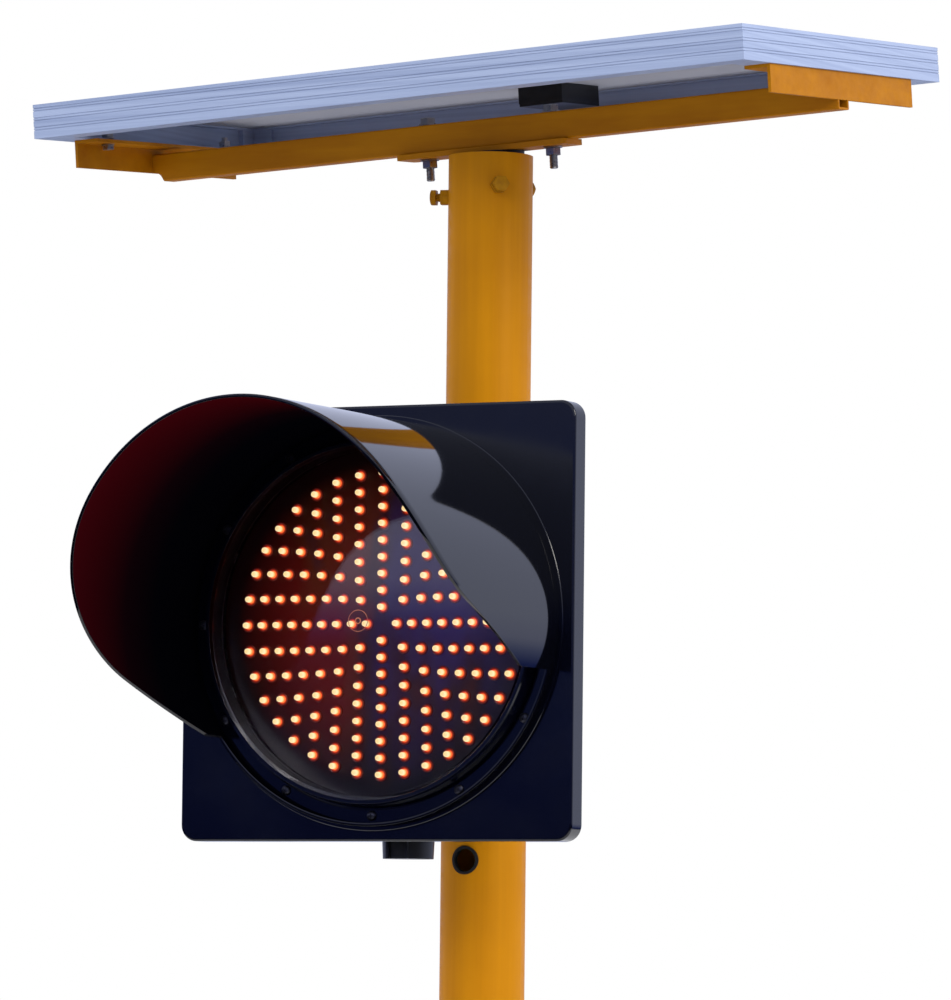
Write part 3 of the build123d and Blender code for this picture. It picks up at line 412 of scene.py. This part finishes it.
def lathe(bm, profile, steps, to_world):
    """Turns (radius, height) points about a local Z axis; to_world places them."""
    rings = []
    for r, h in profile:
        if r < SAME_POINT:
            rings.append([bm.verts.new(to_world @ Vector((0, 0, h)))])
            continue
        ring = []
        for i in range(steps):
            a = 2 * math.pi * i / steps
            ring.append(bm.verts.new(to_world @ Vector((r * math.cos(a), r * math.sin(a), h))))
        rings.append(ring)
    for low, high in zip(rings, rings[1:]):
        for i in range(steps):
            j = (i + 1) % steps
            if len(low) == 1:
                bm.faces.new((low[0], high[j], high[i]))
            elif len(high) == 1:
                bm.faces.new((low[i], low[j], high[0]))
            else:
                bm.faces.new((low[i], low[j], high[j], high[i]))
    return rings


def islands(name):
    """The separate solids of a CAD node, as lists of points."""
    bm = bmesh.new()
    bm.from_mesh(frame["nodes"][name].data)
    bmesh.ops.remove_doubles(bm, verts=bm.verts, dist=1e-6)
    bm.verts.ensure_lookup_table()
    seen = set()
    groups = []
    for start in bm.verts:
        if start.index in seen:
            continue
        stack = [start]
        seen.add(start.index)
        points = []
        while stack:
            vert = stack.pop()
            points.append(vert.co.copy())
            for edge in vert.link_edges:
                other = edge.other_vert(vert)
                if other.index not in seen:
                    seen.add(other.index)
                    stack.append(other)
        groups.append(points)
    bm.free()
    return groups


def axial(points, axis):
    """(matrix with +Z along axis from the low end, length, largest radius) of one turned solid."""
    low = min(p.dot(axis) for p in points)
    high = max(p.dot(axis) for p in points)
    flat = [p - axis * p.dot(axis) for p in points]
    side = axis.orthogonal().normalized()
    other = axis.cross(side)
    u = (min(p.dot(side) for p in flat) + max(p.dot(side) for p in flat)) / 2
    v = (min(p.dot(other) for p in flat) + max(p.dot(other) for p in flat)) / 2
    origin = side * u + other * v + axis * low
    far = max(flat, key=lambda p: (p - side * u - other * v).length)
    across = (far - side * u - other * v).normalized()
    rotation = Matrix((across, axis.cross(across), axis)).transposed().to_4x4()
    radius = (far - side * u - other * v).length
    return Matrix.Translation(origin) @ rotation, high - low, radius


def hex_ring(bm, place_at, corner_r, height_at, steps=8):
    """One closed ring of a hexagon with a corner on the local X axis; height_at gives z from radius."""
    ring = []
    inner = corner_r * math.cos(math.pi / 6)
    for i in range(6 * steps):
        a = 2 * math.pi * i / (6 * steps)
        off = (a % (math.pi / 3)) - math.pi / 6
        r = inner / math.cos(off)
        ring.append(bm.verts.new(place_at @ Vector((r * math.cos(a), r * math.sin(a), height_at(r)))))
    return ring


def round_ring(bm, place_at, r, z, count=48):
    """One closed ring of points on a circle at height z."""
    angles = [2 * math.pi * i / count for i in range(count)]
    return [bm.verts.new(place_at @ Vector((r * math.cos(a), r * math.sin(a), z))) for a in angles]


def bridge(bm, rings, close=False):
    """Joins rings of equally many points by quads; close also joins the last to the first."""
    pairs = list(zip(rings, rings[1:]))
    if close:
        pairs.append((rings[-1], rings[0]))
    for low, high in pairs:
        count = len(low)
        for i in range(count):
            j = (i + 1) % count
            bm.faces.new((low[i], low[j], high[j], high[i]))


CHAMFER_SLOPE = 0.58                         # about 30 degrees
CHAMFER_START = 0.97                         # as a share of the distance to the flats
THREAD_EASE = 0.0004
HOLE_EASE = 0.0005


def chamfered(corner_r, z, away):
    """Height of a hex face whose corners are turned off at about 30 degrees."""
    inner = corner_r * math.cos(math.pi / 6) * CHAMFER_START
    return lambda r: z - away * max(0.0, r - inner) * CHAMFER_SLOPE


def hex_head(bm, place_at, corner_r, low, high, hole_r=0.0):
    """A bolt head chamfered on its far face or, with a hole, a nut chamfered on both."""
    washer_face = corner_r * 0.86 * CHAMFER_START
    seat = chamfered(corner_r, low, -1) if hole_r else (lambda r: low + 0.00005)
    rings = []
    if hole_r:
        rings.append(round_ring(bm, place_at, hole_r + THREAD_EASE, low))
    rings.append(round_ring(bm, place_at, washer_face * 0.98, low))
    rings.append(hex_ring(bm, place_at, corner_r, seat))
    rings.append(hex_ring(bm, place_at, corner_r, chamfered(corner_r, high, 1)))
    rings.append(round_ring(bm, place_at, washer_face * 0.98, high))
    if hole_r:
        rings.append(round_ring(bm, place_at, hole_r + THREAD_EASE, high))
        rings.append(round_ring(bm, place_at, hole_r, high - HOLE_EASE))
        rings.append(round_ring(bm, place_at, hole_r, low + HOLE_EASE))
        bridge(bm, rings, close=True)
        return
    bridge(bm, rings)
    bm.faces.new(list(reversed(rings[0])))
    bm.faces.new(rings[-1])


def threaded(bm, place_at, r, low, high, pitch=0.00125, depth=0.0006, plain=0.0):
    """A shank from low to high: plain part next to low, then ridges, then an eased end."""
    profile = [(0, low), (r, low)]
    z = low + plain
    if plain:
        profile.append((r, z))
    while z + pitch < high - 0.0008:
        profile += [(r - depth, z + pitch * 0.5), (r, z + pitch)]
        z += pitch
    profile += [(r - depth, high - THREAD_EASE), (r - depth - THREAD_EASE, high), (0, high)]
    lathe(bm, profile, 24, place_at)


def make_bolts(name, body, slot, axis_of, shank_r, head_h, plain=0.0):
    """Redraws every bolt of a node with a chamfered head, at the axis's far end, and a threaded shank."""
    bm = bmesh.new()
    for points in islands(name):
        place_at, length, radius = axial(points, axis_of(points))
        top = place_at @ Matrix.Translation((0, 0, length - head_h))
        hex_head(bm, top, radius, 0, head_h)
        shank = length - head_h * 0.5
        down = place_at @ Matrix.Translation((0, 0, shank)) @ Matrix.Rotation(math.pi, 4, "X")
        threaded(bm, down, shank_r, 0, shank, plain=plain)
    obj = new_object(name + "_detail", bm, MATERIALS[slot], body)
    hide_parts(name)


def make_nuts(name, body, slot, axis, hole_r):
    """Redraws every nut of a node with chamfered corners and an eased hole."""
    bm = bmesh.new()
    for points in islands(name):
        place_at, length, radius = axial(points, axis)
        hex_head(bm, place_at, radius, 0, length, hole_r)
    obj = new_object(name + "_detail", bm, MATERIALS[slot], body)
    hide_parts(name)


def outward(points):
    """Horizontal direction away from the pole's axis."""
    middle = sum(points, Vector()) / len(points)
    return Vector((middle.x, middle.y, 0)).normalized()


def upright(points):
    """The panel's own upward direction, for bolts of any place."""
    return PANEL_UP


M8_SHANK_R = 0.00395
M8_HEAD = 0.0053


def make_fasteners():
    make_bolts("set_screws", "pole", "painted_fastener", outward, M8_SHANK_R, M8_HEAD)
    make_bolts("rail_bolts", "panel", "zinc", upright, M8_SHANK_R, M8_HEAD, 0.022)
    make_nuts("rail_nuts", "panel", "zinc", PANEL_UP, 0.00402)
    make_nuts("panel_nuts", "panel", "zinc", PANEL_UP, 0.00302)
    make_nuts("u_bolt_nuts", "head", "zinc", Vector((0, 1, 0)), 0.00502)


# ------------------------------------------------------------------ screws of the visor ring
SCREW_HEAD = 0.0028
RECESS_DEPTH = 0.0013
RECESS_ARM = 0.0022
RECESS_CORNER = 0.0008
RECESS_STEPS = 32


def recess_ring(bm, place_at, share, z):
    """The outline of the cross recess, as a share of its full size, at height z."""
    ring = []
    for i in range(RECESS_STEPS):
        a = 2 * math.pi * i / RECESS_STEPS
        r = RECESS_ARM if abs(math.sin(2 * a)) < 0.40 else RECESS_CORNER
        ring.append(bm.verts.new(place_at @ Vector((r * share * math.cos(a), r * share * math.sin(a), z))))
    return ring


def make_visor_screws():
    """Pan-head screws with a cross recess, driven through the ring into the frame."""
    bm = bmesh.new()
    for points in islands("visor_screws"):
        place_at, length, _ = axial(points, Vector((0, -1, 0)))
        base = length - SCREW_HEAD
        profile = [(0, 0), (0.0022, 0), (0.0025, 0.0006), (0.0025, base), (0.0043, base + 0.0001),
                   (0.0044, base + 0.0009), (0.0040, base + 0.0018), (0.0031, base + 0.0025)]
        head = lathe(bm, profile, RECESS_STEPS, place_at)[-1]
        rim = recess_ring(bm, place_at, 1.0, length)
        floor = recess_ring(bm, place_at, 0.9, length - RECESS_DEPTH)
        bridge(bm, [head, rim, floor])
        bm.faces.new(floor)
    obj = new_object("visor_screws_detail", bm, MATERIALS["blackened_screw"], "door")
    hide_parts("visor_screws")


# ------------------------------------------------------------------ visor
VISOR_R = 0.1762
VISOR_WALL = 0.003
VISOR_LENGTH = 0.262
VISOR_ROLL = math.radians(10.0)
VISOR_SKEW = 0.094
VISOR_SEAT = 0.003
VISOR_ROOT = 0.012
VISOR_CROWN = (VISOR_LENGTH, 0.200)
VISOR_SHOULDER = (VISOR_LENGTH - 0.003, 0.017)
VISOR_SHOULDER_R = 0.165
VISOR_FOOT = (VISOR_LENGTH - 0.2115, -0.072)
VISOR_FOOT_R = 0.014
VISOR_TAIL = (-0.020, VISOR_FOOT[1])
VISOR_ROWS = 24
VISOR_EASE = 0.0007
# Forward distance at which the painted glow inside the visor reaches full strength.
GLOW_REACH = 0.27


def facing(point):
    """A frame at this point whose Z axis points forward, out of the head's front."""
    return Matrix.Translation(point) @ Matrix.Rotation(math.pi / 2, 4, "X")


def arc_between(points, corner, radius, steps):
    """Replaces the corner between two straight runs by an arc of this radius."""
    before, at, after = (Vector(p) for p in (points[corner - 1], points[corner], points[corner + 1]))
    u = (before - at).normalized()
    v = (after - at).normalized()
    half = u.angle(v) / 2
    reach = radius / math.tan(half)
    centre = at + (u + v).normalized() * (radius / math.sin(half))
    start = at + u * reach - centre
    end = at + v * reach - centre
    sweep = start.angle(end)
    arc = []
    for i in range(steps + 1):
        t = i / steps
        arc.append(centre + (start * math.sin((1 - t) * sweep) + end * math.sin(t * sweep)) / math.sin(sweep))
    return arc


def visor_outline():
    """(forward, up) along the cut edge, from the crown down one side to below the foot."""
    points = [VISOR_CROWN, VISOR_SHOULDER, VISOR_FOOT, VISOR_TAIL]
    line = [Vector(points[0])]
    line += arc_between(points, 1, VISOR_SHOULDER_R, 26)
    line += arc_between(points, 2, VISOR_FOOT_R, 10)
    line.append(Vector(points[3]))
    return line


def rim_depth(line, phi):
    """How far forward the cut edge lies at this angle from the crown, towards +X."""
    across = VISOR_R * math.sin(phi)
    up = VISOR_R * math.cos(phi)
    best = VISOR_ROOT
    for a, b in zip(line, line[1:]):
        low, high = sorted((a.y, b.y))
        if low <= up <= high and high - low > 1e-9:
            t = (up - a.y) / (b.y - a.y)
            best = max(best, a.x + t * (b.x - a.x) + VISOR_SKEW * across)
    return best


def make_visor():
    """A thin rolled sheet: columns from the seat to the cut edge, doubled into two skins."""
    line = visor_outline()
    foot_phi = math.acos(VISOR_FOOT[1] / VISOR_R)
    angles = set()
    for i in range(360):
        angles.add(round(math.radians(i) - math.pi, 6))
    for side in (-1, 1):
        for i in range(-24, 25):
            angles.add(round(side * (foot_phi + math.radians(i * 0.25)), 6))
    angles = sorted(angles)
    columns = []
    for phi in angles:
        forward = rim_depth(line, phi) if abs(phi) < foot_phi - 1e-6 else VISOR_ROOT
        columns.append((phi, forward))
    turn = Matrix.Rotation(-VISOR_ROLL, 3, "Y")
    bm = bmesh.new()
    inside = bm.verts.layers.float.new("inside")
    # The forward layer holds the painted glow of the lamps' light: none outside, growing forward inside.
    glow = bm.verts.layers.float.new("forward")

    def point(phi, forward, r, within):
        local = turn @ Vector((r * math.sin(phi), 0, r * math.cos(phi)))
        vert = bm.verts.new(CENTRE + local + Vector((0, -forward, 0)))
        vert[inside] = within
        vert[glow] = within * max(0.0, min(1.0, forward / GLOW_REACH))
        return vert

    def skin(r, pull, within):
        grid = []
        for phi, forward in columns:
            run = forward - pull - VISOR_SEAT
            depths = [VISOR_SEAT + run * i / VISOR_ROWS for i in range(VISOR_ROWS + 1)]
            grid.append([point(phi, depth, r, within) for depth in depths])
        return grid

    bore_r = VISOR_R - VISOR_WALL
    soft = VISOR_EASE * 0.3
    outer = skin(VISOR_R, VISOR_EASE, 0.0)
    inner = skin(bore_r, VISOR_EASE, 1.0)
    lip_out = [point(phi, f - soft, VISOR_R - soft, 0.0) for phi, f in columns]
    lip_mid = [point(phi, f, VISOR_R - VISOR_WALL / 2, 0.0) for phi, f in columns]
    lip_in = [point(phi, f - soft, bore_r + soft, 0.0) for phi, f in columns]
    count = len(columns)
    for i in range(count):
        j = (i + 1) % count
        for k in range(VISOR_ROWS):
            bm.faces.new((outer[i][k], outer[i][k + 1], outer[j][k + 1], outer[j][k]))
            bm.faces.new((inner[j][k], inner[j][k + 1], inner[i][k + 1], inner[i][k]))
        chain_i = (outer[i][-1], lip_out[i], lip_mid[i], lip_in[i], inner[i][-1])
        chain_j = (outer[j][-1], lip_out[j], lip_mid[j], lip_in[j], inner[j][-1])
        for k in range(4):
            bm.faces.new((chain_i[k], chain_i[k + 1], chain_j[k + 1], chain_j[k]))
        bm.faces.new((outer[j][0], inner[j][0], inner[i][0], outer[i][0]))
    obj = new_object("visor_tunnel", bm, VISOR_MATERIAL, "door")
    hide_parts("visor")


RING_INNER_R = 0.1615
RING_OUTER_R = 0.180
RING_T = 0.003
RING_EASE = 0.0006


def make_visor_flange():
    """The screwed ring at the visor's root, with eased front edges."""
    flat = RING_T - RING_EASE
    profile = [(RING_INNER_R, 0), (RING_INNER_R, flat), (RING_INNER_R + RING_EASE, RING_T),
               (RING_OUTER_R - RING_EASE, RING_T), (RING_OUTER_R, flat), (RING_OUTER_R, 0), (RING_INNER_R, 0)]
    bm = bmesh.new()
    lathe(bm, profile, 240, facing(CENTRE))
    bmesh.ops.remove_doubles(bm, verts=bm.verts, dist=SAME_POINT)
    obj = new_object("visor_flange", bm, MATERIALS["visor_black"], "door")
    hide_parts("visor_ring")


# ------------------------------------------------------------------ lamps
LED_RINGS = 9
LED_PITCH = 0.01456
LAMP_R = 0.0026


def lamp_places():
    """(x, z) of every lamp: four more in each ring than in the ring inside it."""
    for k in range(1, LED_RINGS + 1):
        for i in range(4 * k):
            a = math.radians(90.0 * i / k)
            yield k * LED_PITCH * math.cos(a), HEAD_Z + k * LED_PITCH * math.sin(a)


def make_lamps():
    """Round-topped lamp bodies with a collar at the board."""
    length = LAMPS_HIGH.y - LAMPS_LOW.y
    shoulder = length - LAMP_R
    profile = [(0, 0), (LAMP_R + 0.0004, 0), (LAMP_R + 0.0004, 0.0009), (LAMP_R + 0.0001, 0.001),
               (LAMP_R, 0.0012), (LAMP_R, shoulder)]
    for a in (math.radians(degrees) for degrees in (20, 42, 64, 80)):
        profile.append((LAMP_R * math.cos(a), shoulder + LAMP_R * math.sin(a)))
    profile.append((0, length))
    bm = bmesh.new()
    for x, z in lamp_places():
        lathe(bm, profile, 16, facing((x, BOARD_LOW.y, z)))
    obj = new_object("lamp_bodies", bm, MATERIALS["led_red"], "door")
    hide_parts("led_lamps")


def make_lens_mark():
    """The moulding mark at the lens's crown: a fine raised ring with a smaller one inside it; its colour is
    painted glow of the lamps' light.
    """
    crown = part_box("lens")[0].y + 0.0006
    mat, tree, shader = material("lens_mark_painted_glow", (0.5, 0.24, 0.16), 0.2)
    patches = noise(tree, place(tree), 160.0, 2.0)
    # The emission is painted glow: lamp light caught in the mark's rings.
    stops = [(0.35, (0.10, 0.02, 0.02)), (0.65, (0.42, 0.16, 0.07))]
    link(tree, ramp(tree, patches, stops), shader, "Emission Color")
    shader.inputs["Emission Strength"].default_value = 1.0
    bm = bmesh.new()
    around = [math.radians(45 * i) for i in range(9)]
    for radius, wire in ((0.0092, 0.00032), (0.0024, 0.0005)):
        section = [(radius + wire * math.cos(a), wire * math.sin(a)) for a in around]
        lathe(bm, section, 64, facing((0, crown, HEAD_Z)))
    bmesh.ops.remove_doubles(bm, verts=bm.verts, dist=SAME_POINT)
    new_object("lens_mark_painted_glow", bm, mat, "door")


def make_lamp_cups():
    """A shallow cup round each lamp, carrying the painted glow of the lamp's light as a point value."""
    # Each point is (radius, height, painted glow strength).
    profile = [(0.0030, 0.0003, 1.0), (0.0036, 0.0005, 0.75), (0.0042, 0.0008, 0.45), (0.0049, 0.0011, 0.2),
               (0.0056, 0.0012, 0.0), (0.0059, 0.0008, 0.0), (0.0059, 0.0, 0.0), (0.0030, 0.0, 0.6),
               (0.0030, 0.0003, 1.0)]
    bm = bmesh.new()
    layer = bm.verts.layers.float.new("glow")
    for x, z in lamp_places():
        rings = lathe(bm, [(r, h) for r, h, _ in profile], 20, facing((x, BOARD_LOW.y, z)))
        for ring, (_, _, value) in zip(rings, profile):
            for vert in ring:
                vert[layer] = value
    bmesh.ops.remove_doubles(bm, verts=bm.verts, dist=SAME_POINT)
    new_object("lamp_cups", bm, CUP_MATERIAL, "door")


# ------------------------------------------------------------------ stage, light and camera
FLOOR_R = 0.85
FLOOR_AT = (0, 0.15, -0.002)


def make_stage():
    """A pale round floor just under the pole's end."""
    bm = bmesh.new()
    bmesh.ops.create_circle(bm, cap_ends=True, segments=96, radius=FLOOR_R)
    mesh = mesh_from("floor", bm)
    floor = bpy.data.objects.new("floor", mesh)
    bpy.context.scene.collection.objects.link(floor)
    floor.location = FLOOR_AT
    mat, _, shader = material("floor_pale", (0.86, 0.86, 0.86), 0.9)
    shader.inputs["Specular IOR Level"].default_value = 0.1
    mesh.materials.append(mat)


def sky(tree, stops, low, high, lift=0.0):
    """A background coloured by the height of the direction, which lift raises towards +Y."""
    coord = add(tree, "ShaderNodeTexCoord")
    split = add(tree, "ShaderNodeSeparateXYZ")
    tree.links.new(coord.outputs["Generated"], split.inputs["Vector"])
    behind = add(tree, "ShaderNodeMapRange")
    behind.inputs["From Min"].default_value = -0.2
    behind.inputs["From Max"].default_value = 0.4
    behind.inputs["To Max"].default_value = lift
    tree.links.new(split.outputs["Y"], behind.inputs["Value"])
    height = add(tree, "ShaderNodeMath", operation="ADD")
    tree.links.new(split.outputs["Z"], height.inputs[0])
    tree.links.new(behind.outputs["Result"], height.inputs[1])
    span = add(tree, "ShaderNodeMapRange")
    span.inputs["From Min"].default_value = low
    span.inputs["From Max"].default_value = high
    tree.links.new(height.outputs[0], span.inputs["Value"])
    node = add(tree, "ShaderNodeBackground")
    tree.links.new(ramp(tree, span.outputs["Result"], stops), node.inputs["Color"])
    return node


def make_world():
    """Soft light from all round, and white behind the object.

    Reflections and clear parts see a pale sky above a dark, bluish skyline instead."""
    world = bpy.data.worlds.new("studio")
    bpy.context.scene.world = world
    world.use_nodes = True
    tree = world.node_tree
    tree.nodes.clear()
    output = add(tree, "ShaderNodeOutputWorld")
    stops = [(0.0, (0.72, 0.72, 0.78)), (0.45, (0.76, 0.79, 0.86)), (0.7, (0.92, 0.95, 1.02)),
             (1.0, (1.25, 1.28, 1.36))]
    soft = sky(tree, stops, -1.0, 1.0)
    stops = [(0.0, (0.004, 0.004, 0.014)), (0.28, (0.012, 0.012, 0.06)), (0.42, (0.04, 0.07, 0.34)),
             (0.58, (0.28, 0.33, 0.62)), (0.72, (0.56, 0.60, 0.86)), (1.0, (0.66, 0.71, 0.94))]
    gloss = sky(tree, stops, -0.10, 0.26, 0.2)
    seen = add(tree, "ShaderNodeBackground")
    seen.inputs["Color"].default_value = (1.0, 1.0, 1.0, 1.0)
    path = add(tree, "ShaderNodeLightPath")
    by_gloss = add(tree, "ShaderNodeMixShader")
    sharp = add(tree, "ShaderNodeMath", operation="MAXIMUM")
    tree.links.new(path.outputs["Is Glossy Ray"], sharp.inputs[0])
    tree.links.new(path.outputs["Is Transmission Ray"], sharp.inputs[1])
    tree.links.new(sharp.outputs[0], by_gloss.inputs["Fac"])
    tree.links.new(soft.outputs["Background"], by_gloss.inputs[1])
    tree.links.new(gloss.outputs["Background"], by_gloss.inputs[2])
    by_camera = add(tree, "ShaderNodeMixShader")
    tree.links.new(path.outputs["Is Camera Ray"], by_camera.inputs["Fac"])
    tree.links.new(by_gloss.outputs["Shader"], by_camera.inputs[1])
    tree.links.new(seen.outputs["Background"], by_camera.inputs[2])
    tree.links.new(by_camera.outputs["Shader"], output.inputs["Surface"])


def area_light(name, location, target, size, power, color):
    """A round area light aimed at a target."""
    light = bpy.data.lights.new(name, "AREA")
    light.shape = "DISK"
    light.size = size
    light.energy = power
    light.color = color
    obj = bpy.data.objects.new(name, light)
    bpy.context.scene.collection.objects.link(obj)
    obj.location = location
    aim = Vector(target) - Vector(location)
    obj.rotation_euler = aim.to_track_quat("-Z", "Y").to_euler()
    return obj


def make_lights():
    """A key from the right and a large fill from the front that stays out of reflections."""
    area_light("key", (3.4, -1.0, 2.2), (0, 0, 0.6), 1.6, 62, (1.0, 0.95, 0.88))
    fill = area_light("fill", (-0.4, -4.6, 2.6), (0, 0, 0.5), 2.2, 45, (1.0, 0.98, 0.95))
    fill.visible_glossy = False


CAMERA_AT = (2.5190, -5.2235, 0.0894)
CAMERA_AZIMUTH = 25.849
CAMERA_PITCH = 4.269
CAMERA_ROLL = 0.637
FOCAL_PER_HEIGHT = 6.4837


def make_camera():
    """The photograph's viewpoint, with the roll and focal length that its straight edges give."""
    a, p, r = (math.radians(v) for v in (CAMERA_AZIMUTH, CAMERA_PITCH, CAMERA_ROLL))
    view = Vector((-math.sin(a) * math.cos(p), math.cos(a) * math.cos(p), math.sin(p)))
    right = Vector((math.cos(a), math.sin(a), 0))
    up = right.cross(view)
    cam_x = math.cos(r) * right + math.sin(r) * up
    cam_y = math.cos(r) * up - math.sin(r) * right
    data = bpy.data.cameras.new("camera")
    data.sensor_fit = "VERTICAL"
    data.sensor_height = 36.0
    data.lens = 36.0 * FOCAL_PER_HEIGHT
    data.clip_end = 100.0
    camera = bpy.data.objects.new("camera", data)
    bpy.context.scene.collection.objects.link(camera)
    rotation = Matrix((cam_x, cam_y, -view)).transposed().to_4x4()
    camera.matrix_world = Matrix.Translation(CAMERA_AT) @ rotation
    bpy.context.scene.camera = camera


# ------------------------------------------------------------------ put together
make_camera()
finish_nodes()
make_visor()
make_visor_flange()
make_lamps()
make_lamp_cups()
make_lens_mark()
make_fasteners()
make_visor_screws()
make_stage()
make_world()
make_lights()
bpy.context.scene.view_settings.view_transform = "Standard"
